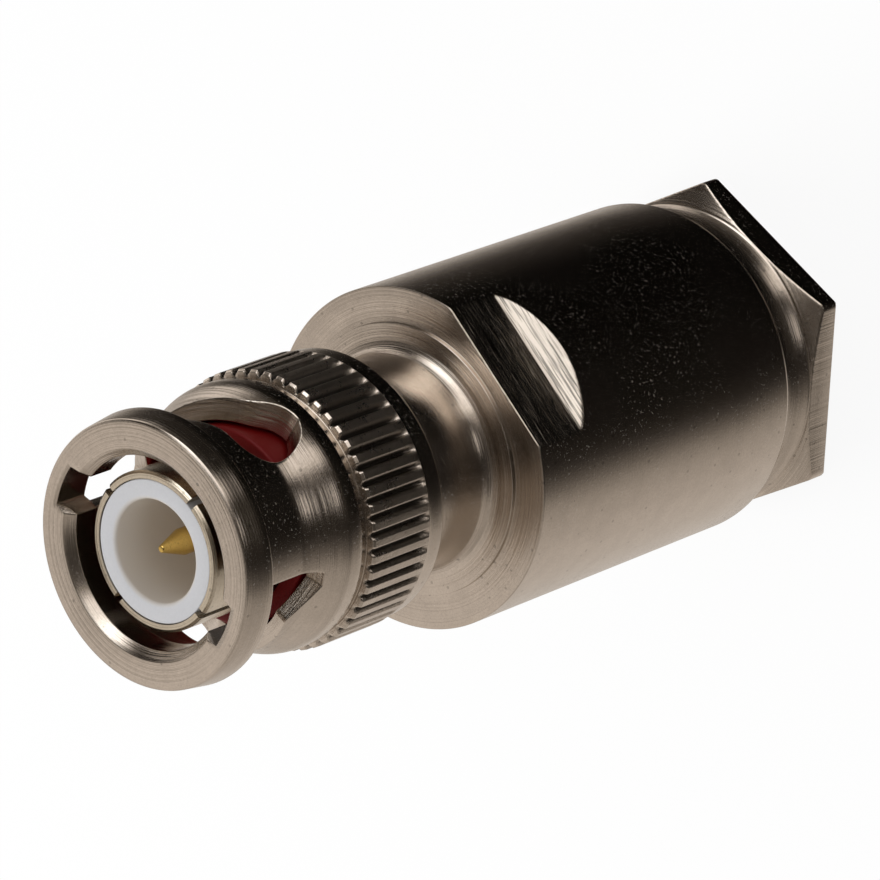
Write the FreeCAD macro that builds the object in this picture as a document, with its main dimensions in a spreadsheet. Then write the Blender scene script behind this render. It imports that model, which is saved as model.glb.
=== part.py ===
import FreeCAD, Part
import math
import os
import Sketcher
from types import SimpleNamespace

# A bayonet cable plug of the clamp type, standing on its clamp nut, +Z towards the mating end.
# The origin is the centre of the clamp nut's rear face. Lengths are in millimetres, angles in degrees.
# +X is the outward direction of one wrench flat on the barrel.

DIMENSIONS = {
    "hex_flat_inset": 0.6,
    "hex_height": 1.8,
    "hex_angle": -17.3,
    "hex_bevel_drop": 0.7,
    "collar_inset": 0.7,
    "collar_height": 2.25,
    "nut_wall": 2.35,
    "cable_mouth_bevel": 0.4,
    "nut_thread_length": 5.2,
    "nut_relief_width": 0.7,
    "nut_relief_depth": 0.45,
    "thread_clearance": 0.08,
    "seat_gap": 0.05,
    "barrel_radius": 9.05,
    "barrel_wall": 1.12,
    "barrel_length": 20.65,
    "barrel_rear_bevel": 0.4,
    "barrel_front_bevel": 0.12,
    "barrel_face_wall": 0.9,
    "wrench_flat_depth": 1.05,
    "wrench_flat_length": 3.65,
    "wrench_flat_count": 2,
    "face_step_width": 1.35,
    "face_step_height": 0.25,
    "neck_shoulder": 0.5,
    "neck_root_flare": 0.25,
    "neck_root_height": 1.4,
    "neck_length": 4.8,
    "nose_wall": 0.98,
    "journal_clearance": 0.06,
    "nose_bore_radius": 4.12,
    "cavity_wall": 2.55,
    "clamp_bore_step": 1.75,
    "clamp_taper": 1.05,
    "clamp_length": 4.2,
    "clamp_rim_length": 1.4,
    "cable_gasket_length": 3.0,
    "clamp_washer_thickness": 0.9,
    "washer_bore_clearance": 0.1,
    "bush_clearance": 0.15,
    "ring_length": 14.65,
    "ring_bore_gap": 0.85,
    "ring_mouth_bevel": 0.45,
    "ring_mouth_length": 1.9,
    "ring_slot_bore_step": 0.4,
    "ring_bore_end": 8.0,
    "ring_neck_wall": 1.15,
    "ring_flange_height": 0.98,
    "ring_flange_taper": 0.23,
    "ring_flange_thickness": 1.72,
    "ring_edge_bevel": 0.15,
    "ring_flare_start": 4.8,
    "ring_flare_middle": 6.3,
    "ring_flare_drop": 0.43,
    "ring_flare_end": 7.6,
    "ring_shoulder_drop": 0.27,
    "ring_shoulder_end": 8.3,
    "ring_groove_drop": 0.5,
    "ring_groove_end": 8.8,
    "ring_cavity_clearance": 0.2,
    "knurl_wall": 1.55,
    "knurl_depth": 0.32,
    "knurl_count": 52,
    "knurl_mouth_width": 0.5,
    "knurl_start": 9.15,
    "knurl_rear_land": 1.59,
    "ring_rim_drop": 0.13,
    "ring_rear_bevel": 0.45,
    "ring_lip_thickness": 1.4,
    "slot_count": 2,
    "slot_start_angle": -68.8,
    "slot_sweep": 93.0,
    "slot_start": 3.25,
    "slot_end": 5.65,
    "slot_width": 2.6,
    "slot_hole_radius": 1.72,
    "entry_width": 2.4,
    "entry_outer_wall": 0.15,
    "entry_window_half_width": 1.76,
    "entry_window_rear": 6.1,
    "entry_window_flat": 0.7,
    "entry_window_slope": 1.6,
    "ring_float": 0.8,
    "thrust_washer_thickness": 0.45,
    "wave_washer_thickness": 0.2,
    "wave_count": 3,
    "snap_ring_thickness": 0.7,
    "snap_ring_reach": 0.4,
    "snap_ring_gap": 1.6,
    "snap_groove_depth": 0.5,
    "nose_land": 0.9,
    "sleeve_recess": 0.77,
    "sleeve_seat_depth": 0.47,
    "sleeve_press_gap": 0.02,
    "sleeve_wall": 0.4,
    "sleeve_slot_width": 0.42,
    "sleeve_slot_length": 5.0,
    "sleeve_slot_count": 4,
    "sleeve_slot_angle": 6.2,
    "sleeve_lip": 0.14,
    "front_gasket_wall": 1.0,
    "front_gasket_length": 3.8,
    "insulator_wall": 1.03,
    "insulator_recess_depth": 5.4,
    "insulator_clearance": 0.04,
    "pin_radius": 0.675,
    "pin_recess": 1.26,
    "pin_tip_length": 1.1,
    "pin_tip_radius": 0.16,
    "contact_shank_step": 0.425,
    "pin_web": 0.5,
    "contact_pot_radius": 1.85,
    "contact_pot_length": 8.6,
    "contact_pot_wall": 0.65,
    "contact_pot_depth": 5.5,
    "contact_hole_height": 3.85,
    "contact_hole_radius": 0.45,
}

doc = FreeCAD.newDocument("cable_plug")
sheet = doc.addObject("Spreadsheet::Sheet", "dims")


class Size:
    """A length that is known both as a number and as the text of an expression on the sheet."""

    def __init__(self, number, text):
        self.number = number
        self.text = text

    def _join(self, other, sign, number):
        text = other.text if isinstance(other, Size) else repr(other)
        return Size(number, f"({self.text} {sign} {text})")

    def __add__(self, other):
        return self._join(other, "+", self.number + value(other))

    def __sub__(self, other):
        return self._join(other, "-", self.number - value(other))

    def __mul__(self, other):
        return self._join(other, "*", self.number * value(other))

    def __truediv__(self, other):
        return self._join(other, "/", self.number / value(other))


def value(size):
    return size.number if isinstance(size, Size) else size


def fill_sheet():
    """Write each driving dimension to the sheet and return the sizes that read it."""
    sizes = {}
    for row, (alias, number) in enumerate(DIMENSIONS.items(), start=1):
        cell = f"B{row}"
        sheet.set(f"A{row}", alias.replace("_", " "))
        sheet.set(cell, str(number))
        sheet.setAlias(cell, alias)
        sizes[alias] = Size(number, f"dims.{alias}")
    doc.recompute()
    return sizes


d = SimpleNamespace(**fill_sheet())
ZERO = Size(0.0, "0")
CUT_MARGIN = 1.0
HEX_SIDES = 6
HALF_HEX_ANGLE = 180 / HEX_SIDES
POINTS_PER_WAVE = 8

# Stations along the axis, from the clamp nut's rear face up to the coupling ring's front face.
hex_front = d.hex_height
nut_shoulder = hex_front + d.collar_height
flat_radius = d.barrel_radius - d.hex_flat_inset
collar_radius = d.barrel_radius - d.collar_inset
barrel_rear = nut_shoulder + d.seat_gap
barrel_front = barrel_rear + d.barrel_length
face_step = barrel_front + d.face_step_height
journal_rear = face_step + d.neck_length
ring_rear = journal_rear + d.seat_gap
ring_front = ring_rear + d.ring_length

# The clamp nut's thread and the cable pieces stacked in front of it.
thread_bore = d.barrel_radius - d.barrel_wall
nut_thread_radius = thread_bore - d.thread_clearance
insert_radius = nut_thread_radius - d.seat_gap
cable_bore_radius = nut_thread_radius - d.nut_wall
clamp_bore_radius = cable_bore_radius - d.clamp_bore_step
washer_bore = cable_bore_radius + d.washer_bore_clearance
nut_tip = nut_shoulder + d.nut_thread_length
washer_rear = nut_tip + d.seat_gap
washer_front = washer_rear + d.clamp_washer_thickness
gasket_rear = washer_front + d.seat_gap
gasket_front = gasket_rear + d.cable_gasket_length
clamp_rear = gasket_front + d.seat_gap
clamp_front = clamp_rear + d.clamp_length
cavity_rear = clamp_front + d.seat_gap
cavity_front = barrel_front - d.barrel_face_wall
cavity_radius = d.barrel_radius - d.cavity_wall

# The coupling ring's lip, and the washers and snap ring that hold it.
lip_front = ring_rear + d.ring_lip_thickness
thrust_rear = lip_front + d.seat_gap
thrust_front = thrust_rear + d.thrust_washer_thickness
wave_rear = thrust_front + d.seat_gap
wave_height = d.wave_washer_thickness + d.ring_float / 2
wave_middle = wave_rear + wave_height
wave_next = wave_middle + d.seat_gap
wave_front = wave_next + wave_height
snap_rear = wave_front + d.seat_gap
snap_front = snap_rear + d.snap_ring_thickness
snap_groove_front = snap_front + d.seat_gap
nose_front = snap_groove_front + d.nose_land
journal_radius = d.nose_bore_radius + d.nose_wall
running_bore = journal_radius + d.journal_clearance
snap_groove_radius = journal_radius - d.snap_groove_depth
snap_ring_radius = journal_radius + d.snap_ring_reach
neck_radius = journal_radius + d.neck_shoulder
neck_root_radius = neck_radius + d.neck_root_flare
face_step_radius = neck_root_radius + d.face_step_width

# The mating end.
sleeve_front = ring_front - d.sleeve_recess
sleeve_radius = d.nose_bore_radius - d.sleeve_press_gap
sleeve_bore = sleeve_radius - d.sleeve_wall
insulator_radius = sleeve_bore - d.insulator_clearance
insulator_front = sleeve_front - d.seat_gap
recess_radius = insulator_radius - d.insulator_wall
recess_floor = insulator_front - d.insulator_recess_depth
pin_front = ring_front - d.pin_recess
shank_radius = d.pin_radius + d.contact_shank_step
pin_shoulder = nose_front - d.sleeve_seat_depth
bush_front = pin_shoulder - d.seat_gap
bush_radius = d.nose_bore_radius - d.insulator_clearance
pot_rear = pin_shoulder - d.contact_pot_length

# The coupling ring's own radii.
ring_bore_radius = sleeve_radius + d.ring_bore_gap
ring_slot_bore_radius = ring_bore_radius + d.ring_slot_bore_step
ring_neck_radius = ring_bore_radius + d.ring_neck_wall
ring_flange_radius = ring_neck_radius + d.ring_flange_height
ring_flange_front_radius = ring_flange_radius - d.ring_flange_taper
entry_depth_radius = ring_neck_radius - d.entry_outer_wall
ring_cavity_radius = snap_ring_radius + d.ring_cavity_clearance
knurl_radius = ring_cavity_radius + d.knurl_wall
ring_shoulder_radius = knurl_radius - d.ring_shoulder_drop
ring_flare_radius = ring_shoulder_radius - d.ring_flare_drop
ring_groove_radius = knurl_radius - d.ring_groove_drop
ring_rim_radius = knurl_radius - d.ring_rim_drop
knurl_rear = ring_rear + d.knurl_rear_land


def origin_feature(body, role):
    return next(item for item in body.Origin.OriginFeatures if item.Role == role)


def new_body(label):
    body = doc.addObject("PartDesign::Body", label)
    body.Label = label
    return body


def new_sketch(body, name, plane_role):
    sketch = body.newObject("Sketcher::SketchObject", name)
    sketch.AttachmentSupport = [(origin_feature(body, plane_role), "")]
    sketch.MapMode = "FlatFace"
    return sketch


def tie(sketch, kind, geometry, point, size):
    """Hold a sketch point at a distance from the sketch's origin that the sheet gives."""
    constraint = Sketcher.Constraint(kind, -1, 1, geometry, point, value(size))
    index = sketch.addConstraint(constraint)
    sketch.setExpression(f"Constraints[{index}]", size.text)


def draw_outline(sketch, points):
    """Draw a closed outline through points whose two coordinates are sizes."""
    vectors = [FreeCAD.Vector(value(across), value(along), 0) for across, along in points]
    for start, end in zip(vectors, vectors[1:] + vectors[:1]):
        sketch.addGeometry(Part.LineSegment(start, end), False)
    count = len(points)
    for index, (across, along) in enumerate(points):
        sketch.addConstraint(Sketcher.Constraint("Coincident", index, 2, (index + 1) % count, 1))
        tie(sketch, "DistanceX", index, 1, across)
        tie(sketch, "DistanceY", index, 1, along)


def draw_circle(sketch, height, radius):
    """Draw a circle centred on the axis's line in the sketch, at the given height."""
    centre = FreeCAD.Vector(0, value(height), 0)
    sketch.addGeometry(Part.Circle(centre, FreeCAD.Vector(0, 0, 1), value(radius)), False)
    tie(sketch, "DistanceX", 0, 3, ZERO)
    tie(sketch, "DistanceY", 0, 3, height)
    index = sketch.addConstraint(Sketcher.Constraint("Radius", 0, value(radius)))
    sketch.setExpression(f"Constraints[{index}]", radius.text)


def band(near, far, half_width):
    """A rectangle that runs outwards along the sketch's X direction."""
    return [(near, ZERO - half_width), (far, ZERO - half_width), (far, half_width), (near, half_width)]


def ring_section(inner, outer, low, high):
    """The half section of a plain ring."""
    return [(inner, low), (outer, low), (outer, high), (inner, high)]


def turned(label, points):
    """A turned piece: its half section, given as radius and height, revolved about Z."""
    body = new_body(label)
    sketch = new_sketch(body, f"{label}_section", "XZ_Plane")
    draw_outline(sketch, points)
    turn = body.newObject("PartDesign::Revolution", f"{label}_turning")
    turn.Profile = sketch
    turn.ReferenceAxis = (sketch, ["V_Axis"])
    turn.Angle = 360
    body.Tip = turn
    doc.recompute()
    return body


def side_sketch(body, name, angle):
    """A sketch on the plane through the axis whose outward normal stands at the angle from X."""
    sketch = new_sketch(body, name, "YZ_Plane")
    sketch.AttachmentOffset = FreeCAD.Placement(
        FreeCAD.Vector(0, 0, 0), FreeCAD.Rotation(FreeCAD.Vector(0, 1, 0), value(angle)))
    sketch.setExpression("AttachmentOffset.Rotation.Angle", angle.text)
    return sketch


def cut_outward(body, name, sketch, reach):
    """Cut a sketch's outline from the axis outwards, to the given radius."""
    pocket = body.newObject("PartDesign::Pocket", name)
    pocket.Profile = sketch
    pocket.Reversed = True
    pocket.Length = value(reach)
    pocket.setExpression("Length", reach.text)
    body.Tip = pocket
    doc.recompute()
    return pocket


def cut_along(body, name, sketch, depth):
    """Cut a sketch's outline down along Z from the sketch's own plane."""
    pocket = body.newObject("PartDesign::Pocket", name)
    pocket.Profile = sketch
    pocket.Length = value(depth)
    pocket.setExpression("Length", depth.text)
    body.Tip = pocket
    doc.recompute()
    return pocket


def level_sketch(body, name, height):
    """A sketch on a level plane at the given height."""
    sketch = new_sketch(body, name, "XY_Plane")
    sketch.AttachmentOffset = FreeCAD.Placement(
        FreeCAD.Vector(0, 0, value(height)), FreeCAD.Rotation())
    sketch.setExpression("AttachmentOffset.Base.z", height.text)
    return sketch


def repeat_round(body, name, feature, count):
    """Repeat a cut evenly around the axis."""
    pattern = body.newObject("PartDesign::PolarPattern", name)
    pattern.Originals = [feature]
    pattern.Axis = (origin_feature(body, "Z_Axis"), [""])
    pattern.Angle = 360
    pattern.Occurrences = int(value(count))
    if isinstance(count, Size):
        pattern.setExpression("Occurrences", count.text)
    body.Tip = pattern
    doc.recompute()
    return pattern


def turned_sketch(body, name, height, angle):
    """A level sketch whose X direction stands at the angle from the piece's own X."""
    sketch = level_sketch(body, name, height)
    sketch.AttachmentOffset = FreeCAD.Placement(
        FreeCAD.Vector(0, 0, value(height)), FreeCAD.Rotation(FreeCAD.Vector(0, 0, 1), value(angle)))
    sketch.setExpression("AttachmentOffset.Rotation.Angle", angle.text)
    return sketch


def make_clamp_nut():
    """The clamp nut: a hexagon with a bevelled front, a round collar and a male thread."""
    relief_radius = nut_thread_radius - d.nut_relief_depth
    relief_front = nut_shoulder + d.nut_relief_width
    corner_radius = flat_radius / math.cos(math.radians(HALF_HEX_ANGLE))
    mouth_radius = cable_bore_radius + d.cable_mouth_bevel
    body = turned("clamp_nut", [
        (mouth_radius, ZERO),
        (corner_radius, ZERO),
        (corner_radius, hex_front - d.hex_bevel_drop),
        (flat_radius, hex_front),
        (collar_radius, hex_front),
        (collar_radius, nut_shoulder - d.barrel_front_bevel),
        (collar_radius - d.barrel_front_bevel, nut_shoulder),
        (relief_radius, nut_shoulder),
        (relief_radius, relief_front),
        (nut_thread_radius, relief_front + d.nut_relief_depth),
        (nut_thread_radius, nut_tip - d.nut_relief_depth),
        (relief_radius, nut_tip),
        (cable_bore_radius, nut_tip),
        (cable_bore_radius, d.cable_mouth_bevel),
    ])
    sketch = level_sketch(body, "clamp_nut_flat_outline", hex_front)
    outer = corner_radius + CUT_MARGIN
    draw_outline(sketch, band(flat_radius, outer, outer))
    flat = cut_along(body, "clamp_nut_flat", sketch, hex_front)
    repeat_round(body, "clamp_nut_hexagon", flat, HEX_SIDES)
    body.setExpression("Placement.Rotation.Angle", (d.hex_angle + HALF_HEX_ANGLE).text)
    return body


def make_plug_body():
    """The plug's one turned housing: threaded barrel, front face, neck and nose."""
    body = turned("plug_body", [
        (thread_bore, barrel_rear),
        (d.barrel_radius - d.barrel_rear_bevel, barrel_rear),
        (d.barrel_radius, barrel_rear + d.barrel_rear_bevel),
        (d.barrel_radius, barrel_front - d.barrel_front_bevel),
        (d.barrel_radius - d.barrel_front_bevel, barrel_front),
        (face_step_radius, barrel_front),
        (face_step_radius, face_step),
        (neck_root_radius, face_step),
        (neck_radius, face_step + d.neck_root_height),
        (neck_radius, journal_rear),
        (journal_radius, journal_rear),
        (journal_radius, snap_rear - d.seat_gap),
        (snap_groove_radius, snap_rear - d.seat_gap),
        (snap_groove_radius, snap_groove_front),
        (journal_radius, snap_groove_front),
        (journal_radius, nose_front),
        (d.nose_bore_radius, nose_front),
        (d.nose_bore_radius, cavity_front),
        (cavity_radius, cavity_front),
        (cavity_radius, cavity_rear),
        (thread_bore, cavity_rear),
    ])
    sketch = level_sketch(body, "wrench_flat_outline", barrel_front)
    outer = d.barrel_radius + CUT_MARGIN
    draw_outline(sketch, band(d.barrel_radius - d.wrench_flat_depth, outer, outer))
    cut = cut_along(body, "wrench_flat", sketch, d.wrench_flat_length)
    repeat_round(body, "wrench_flats", cut, d.wrench_flat_count)
    return body


def make_coupling_ring():
    """The bayonet ring: flange, slotted neck, flared shoulder, knurled band and rear lip."""
    front = ring_front
    body = turned("coupling_ring", [
        (ring_bore_radius + d.ring_mouth_bevel, front),
        (ring_flange_front_radius - d.ring_edge_bevel, front),
        (ring_flange_front_radius, front - d.ring_edge_bevel),
        (ring_flange_radius, front - d.ring_flange_thickness),
        (ring_neck_radius, front - d.ring_flange_thickness),
        (ring_neck_radius, front - d.ring_flare_start),
        (ring_flare_radius, front - d.ring_flare_middle),
        (ring_shoulder_radius, front - d.ring_flare_end),
        (ring_shoulder_radius, front - d.ring_shoulder_end),
        (ring_groove_radius, front - d.ring_shoulder_end),
        (ring_groove_radius, front - d.ring_groove_end),
        (knurl_radius, front - d.knurl_start),
        (knurl_radius, knurl_rear),
        (ring_rim_radius, knurl_rear),
        (ring_rim_radius, ring_rear + d.ring_rear_bevel),
        (ring_rim_radius - d.ring_rear_bevel, ring_rear),
        (running_bore, ring_rear),
        (running_bore, lip_front),
        (ring_cavity_radius, lip_front),
        (ring_cavity_radius, front - d.ring_bore_end),
        (ring_slot_bore_radius, front - d.ring_bore_end),
        (ring_slot_bore_radius, front - d.ring_mouth_length),
        (ring_bore_radius, front - d.ring_mouth_length),
        (ring_bore_radius, front - d.ring_mouth_bevel),
    ])
    knurl_sketch = level_sketch(body, "knurl_groove_outline", front - d.knurl_start)
    rim = knurl_radius + d.seat_gap
    half_mouth = d.knurl_mouth_width / 2
    draw_outline(knurl_sketch, [
        (knurl_radius - d.knurl_depth, ZERO),
        (rim, ZERO - half_mouth),
        (rim, half_mouth),
    ])
    groove = cut_along(body, "knurl_groove", knurl_sketch, front - d.knurl_start - knurl_rear)
    repeat_round(body, "knurl", groove, d.knurl_count)

    hole_angle = d.slot_start_angle - d.slot_sweep
    hole_sketch = side_sketch(body, "slot_hole_outline", hole_angle)
    draw_circle(hole_sketch, front - d.slot_end, d.slot_hole_radius)
    hole = cut_outward(body, "slot_hole", hole_sketch, knurl_radius)
    repeat_round(body, "slot_holes", hole, d.slot_count)

    window_sketch = side_sketch(body, "entry_window_outline", d.slot_start_angle)
    half_window = d.entry_window_half_width
    window_front = front - d.ring_flange_thickness
    window_rear = front - d.entry_window_rear
    draw_outline(window_sketch, [
        (ZERO - half_window, window_front),
        (half_window, window_front),
        (half_window, window_rear),
        (half_window - d.entry_window_flat, window_rear),
        (ZERO - half_window, window_rear + d.entry_window_slope),
    ])
    window = cut_outward(body, "entry_window", window_sketch, knurl_radius)
    repeat_round(body, "entry_windows", window, d.slot_count)

    entry_sketch = turned_sketch(body, "entry_groove_outline", front, d.slot_start_angle)
    inside = ring_bore_radius - CUT_MARGIN
    draw_outline(entry_sketch, band(inside, entry_depth_radius, d.entry_width / 2))
    entry = cut_along(body, "entry_groove", entry_sketch, d.ring_flange_thickness + d.seat_gap)
    repeat_round(body, "entry_grooves", entry, d.slot_count)

    slot_sketch = new_sketch(body, "slot_outline", "XZ_Plane")
    slot_sketch.AttachmentOffset = FreeCAD.Placement(
        FreeCAD.Vector(0, 0, 0), FreeCAD.Rotation(FreeCAD.Vector(0, 1, 0), value(hole_angle)))
    slot_sketch.setExpression("AttachmentOffset.Rotation.Angle", hole_angle.text)
    low = front - d.slot_end - d.slot_width / 2
    high = front - d.slot_end + d.slot_width / 2
    outside = knurl_radius + d.seat_gap
    draw_outline(slot_sketch, [(inside, low), (outside, low), (outside, high), (inside, high)])
    slot = body.newObject("PartDesign::SubtractiveHelix", "slot")
    slot.Profile = slot_sketch
    slot.ReferenceAxis = (slot_sketch, ["V_Axis"])
    slot.Mode = "height-turns-angle"
    slot_rise = d.slot_end - d.slot_start
    slot.Height = value(slot_rise)
    slot.setExpression("Height", slot_rise.text)
    slot_turns = d.slot_sweep / 360
    slot.Turns = value(slot_turns)
    slot.setExpression("Turns", slot_turns.text)
    slot.Angle = 0
    body.Tip = slot
    doc.recompute()
    repeat_round(body, "slots", slot, d.slot_count)
    return body


def make_clamp_washer():
    """The flat washer that the clamp nut pushes against the cable gasket."""
    section = ring_section(washer_bore, insert_radius, washer_rear, washer_front)
    return turned("clamp_washer", section)


def make_cable_gasket():
    """The rubber gasket that the clamp nut squeezes onto the cable, with a groove in its rear face."""
    middle = (washer_bore + insert_radius) / 2
    groove = (insert_radius - washer_bore) / 4
    return turned("cable_gasket", [
        (washer_bore, gasket_rear),
        (middle - groove, gasket_rear),
        (middle, gasket_rear + groove),
        (middle + groove, gasket_rear),
        (insert_radius, gasket_rear),
        (insert_radius, gasket_front),
        (washer_bore, gasket_front),
    ])


def make_braid_clamp():
    """The tapered clamp that the cable's braid is folded over."""
    rim_front = clamp_rear + d.clamp_rim_length
    return turned("braid_clamp", [
        (clamp_bore_radius, clamp_rear),
        (insert_radius, clamp_rear),
        (insert_radius, rim_front),
        (insert_radius - d.clamp_taper, clamp_front),
        (clamp_bore_radius, clamp_front),
    ])


def make_rear_bush():
    """The stepped insulating bush behind the front insulator, which holds the contact's pot."""
    bush_bore = d.contact_pot_radius + d.insulator_clearance
    return turned("rear_insulator", [
        (bush_bore, cavity_rear + d.bush_clearance),
        (cavity_radius - d.insulator_clearance, cavity_rear + d.bush_clearance),
        (cavity_radius - d.insulator_clearance, cavity_front - d.bush_clearance),
        (bush_radius, cavity_front - d.bush_clearance),
        (bush_radius, bush_front),
        (bush_bore, bush_front),
    ])


def make_front_insulator():
    """The white insulator inside the contact sleeve, with the deep recess around the pin."""
    pin_bore = d.pin_radius + d.insulator_clearance
    shank_bore = shank_radius + d.insulator_clearance
    return turned("front_insulator", [
        (shank_bore, pin_shoulder),
        (insulator_radius, pin_shoulder),
        (insulator_radius, insulator_front),
        (recess_radius, insulator_front),
        (recess_radius, recess_floor),
        (pin_bore, recess_floor),
        (pin_bore, recess_floor - d.pin_web),
        (shank_bore, recess_floor - d.pin_web),
    ])


def make_centre_contact():
    """The gilt centre contact: pointed pin, shank and solder pot with its sight hole."""
    shank_front = recess_floor - d.pin_web - d.seat_gap
    pot_bore = d.contact_pot_radius - d.contact_pot_wall
    body = turned("centre_contact", [
        (ZERO, pot_rear + d.contact_pot_depth),
        (pot_bore, pot_rear + d.contact_pot_depth),
        (pot_bore, pot_rear),
        (d.contact_pot_radius, pot_rear),
        (d.contact_pot_radius, bush_front),
        (shank_radius, bush_front),
        (shank_radius, shank_front),
        (d.pin_radius, shank_front),
        (d.pin_radius, pin_front - d.pin_tip_length),
        (d.pin_tip_radius, pin_front),
        (ZERO, pin_front),
    ])
    sketch = new_sketch(body, "sight_hole_outline", "YZ_Plane")
    draw_circle(sketch, pot_rear + d.contact_hole_height, d.contact_hole_radius)
    cut_outward(body, "sight_hole", sketch, d.contact_pot_radius + d.insulator_clearance)
    return body


def make_contact_sleeve():
    """The outer contact: a thin sleeve with slots that leave spring fingers, pressed into the nose."""
    body = turned("contact_sleeve", [
        (sleeve_bore, pin_shoulder),
        (sleeve_radius, pin_shoulder),
        (sleeve_radius, sleeve_front - d.sleeve_lip),
        (sleeve_radius - d.sleeve_lip, sleeve_front),
        (sleeve_bore, sleeve_front),
    ])
    sketch = turned_sketch(body, "finger_slot_outline", sleeve_front, d.sleeve_slot_angle)
    inside = sleeve_bore - CUT_MARGIN
    outside = sleeve_radius + CUT_MARGIN
    draw_outline(sketch, band(inside, outside, d.sleeve_slot_width / 2))
    slot = cut_along(body, "finger_slot", sketch, d.sleeve_slot_length)
    repeat_round(body, "finger_slots", slot, d.sleeve_slot_count)
    return body


def make_front_gasket():
    """The red seal round the sleeve's root, which a mated socket presses on."""
    inner = sleeve_radius + d.seat_gap
    rear = nose_front + d.seat_gap
    section = ring_section(inner, inner + d.front_gasket_wall, rear, rear + d.front_gasket_length)
    return turned("front_gasket", section)


def make_snap_ring():
    """The open ring in the nose's groove that keeps the washers and the coupling ring on."""
    inner = snap_groove_radius + d.seat_gap
    body = turned("snap_ring", ring_section(inner, snap_ring_radius, snap_rear, snap_front))
    sketch = level_sketch(body, "snap_ring_gap_outline", snap_front)
    draw_outline(sketch, band(ZERO, snap_ring_radius + CUT_MARGIN, d.snap_ring_gap / 2))
    cut_along(body, "snap_ring_gap", sketch, d.snap_ring_thickness + d.seat_gap)
    return body


def make_thrust_washer():
    """The flat washer between the coupling ring's lip and the wave washers."""
    section = ring_section(running_bore, snap_ring_radius, thrust_rear, thrust_front)
    return turned("thrust_washer", section)


def make_wave_washer(label, low, high, phase):
    """A spring washer bent into waves: four ruled faces between wavy rims."""
    height = value(high) - value(low)
    thickness = value(d.wave_washer_thickness)
    swing = (height - thickness) / 2
    waves = int(value(d.wave_count))
    steps = POINTS_PER_WAVE * waves

    def rim(radius, level):
        points = []
        for step in range(steps):
            angle = 2 * math.pi * step / steps
            lift = swing * math.cos(waves * angle + phase)
            across = radius * math.cos(angle)
            along = radius * math.sin(angle)
            points.append(FreeCAD.Vector(across, along, level + lift))
        curve = Part.BSplineCurve()
        curve.interpolate(Points=points, PeriodicFlag=True)
        return curve.toShape()

    inner = value(running_bore)
    outer = value(snap_ring_radius)
    bottom_level = value(low) + swing
    top_level = bottom_level + thickness
    corners = [(inner, bottom_level), (outer, bottom_level), (outer, top_level), (inner, top_level)]
    rims = [rim(radius, level) for radius, level in corners]
    faces = [Part.makeRuledSurface(one, two) for one, two in zip(rims, rims[1:] + rims[:1])]
    shell = Part.Shell(faces)
    shell.sewShape()
    solid = Part.makeSolid(shell)
    if solid.Volume < 0:
        solid.reverse()
    washer = doc.addObject("Part::Feature", label)
    washer.Label = label
    washer.Shape = solid
    washer.Placement = FreeCAD.Placement()
    return washer


def make_wave_washers():
    """The pair of wave washers that push the coupling ring back, laid crest to crest."""
    return [
        make_wave_washer("wave_washer_rear", wave_rear, wave_middle, 0.0),
        make_wave_washer("wave_washer_front", wave_next, wave_front, math.pi),
    ]


PIECES = [
    make_clamp_nut,
    make_clamp_washer,
    make_cable_gasket,
    make_braid_clamp,
    make_plug_body,
    make_rear_bush,
    make_front_insulator,
    make_centre_contact,
    make_contact_sleeve,
    make_front_gasket,
    make_snap_ring,
    make_wave_washers,
    make_thrust_washer,
    make_coupling_ring,
]

nodes = []
for make in PIECES:
    made = make()
    nodes.extend(made if isinstance(made, list) else [made])
doc.recompute()


def check(items):
    """Stop before anything is written if an object failed or a piece isn't one valid solid."""
    for item in doc.Objects:
        if "Invalid" in item.State or "Error" in item.State:
            raise RuntimeError(f"{item.Name} failed: {item.State}")
    for item in items:
        if item.Shape.isNull() or not item.Shape.isValid():
            raise RuntimeError(f"{item.Label} has no valid shape")


check(nodes)
os.makedirs("parts", exist_ok=True)
for node in nodes:
    node.Shape.exportStep(f"parts/{node.Label}.step")
    box = node.Shape.BoundBox
    print(f"{node.Label}: {len(node.Shape.Solids)} solid, volume {node.Shape.Volume:.2f},"
          f" z {box.ZMin:.2f} to {box.ZMax:.2f}, x {box.XMin:.2f} to {box.XMax:.2f}")
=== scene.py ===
"""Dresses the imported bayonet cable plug: fine turned, milled and knurled pieces, plated finishes and a stage."""

import math
from collections import namedtuple

import bmesh
import bpy
from bpy.props import FloatProperty, FloatVectorProperty, IntProperty, PointerProperty
from mathutils import Matrix, Vector


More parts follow.
